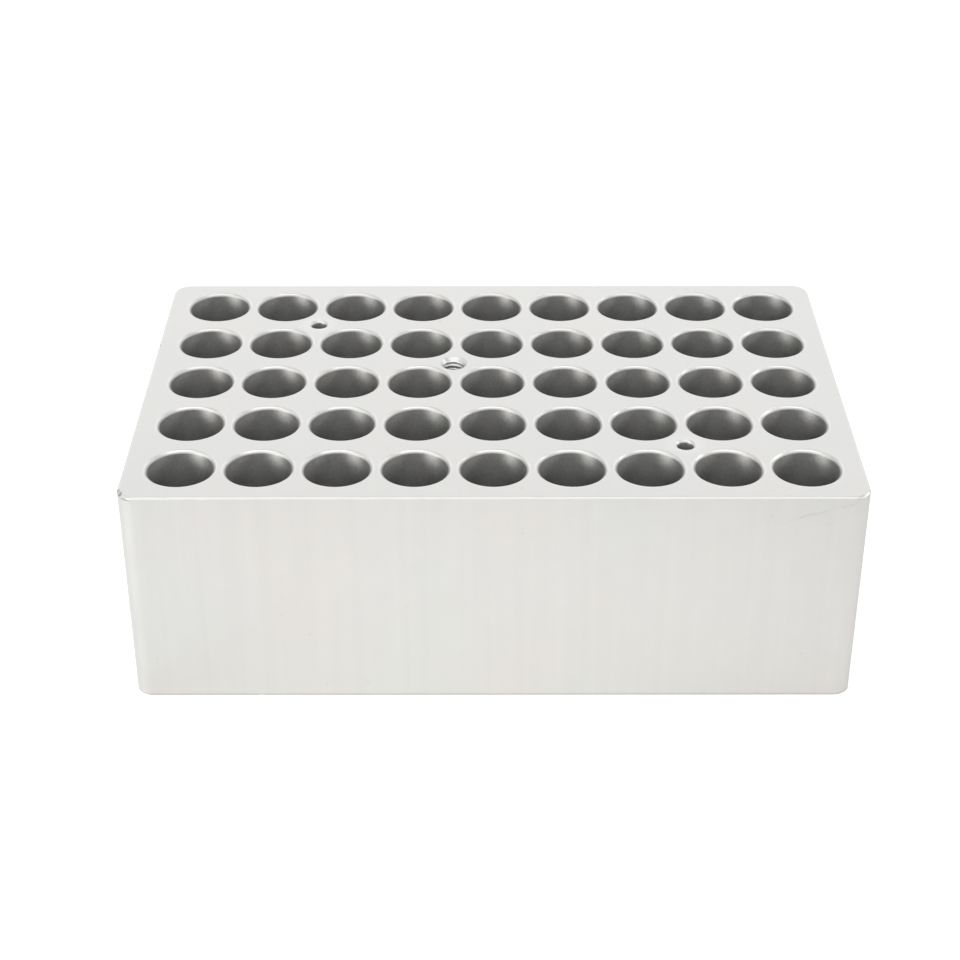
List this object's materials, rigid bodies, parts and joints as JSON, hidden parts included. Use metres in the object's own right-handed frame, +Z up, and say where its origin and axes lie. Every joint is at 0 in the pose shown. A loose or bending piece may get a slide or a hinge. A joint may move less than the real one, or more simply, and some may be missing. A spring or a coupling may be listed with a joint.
{
  "type": "dry block heater heating block",
  "caption": "One-piece machined aluminium heating block of a dry block heater, with a grid of tapered tube wells, fixing holes and a tapped lifting hole.",
  "frame": {"origin": "middle of the block's flat underside", "axes": "+X along the long side, +Y away from the front face, +Z up out of the wells"},
  "size_m": [0.123, 0.079, 0.04],
  "materials": {
    "anodised_aluminium": "satin"
  },
  "bodies": {
    "root": {"heating_block": "anodised_aluminium"}
  },
  "joints": []
}
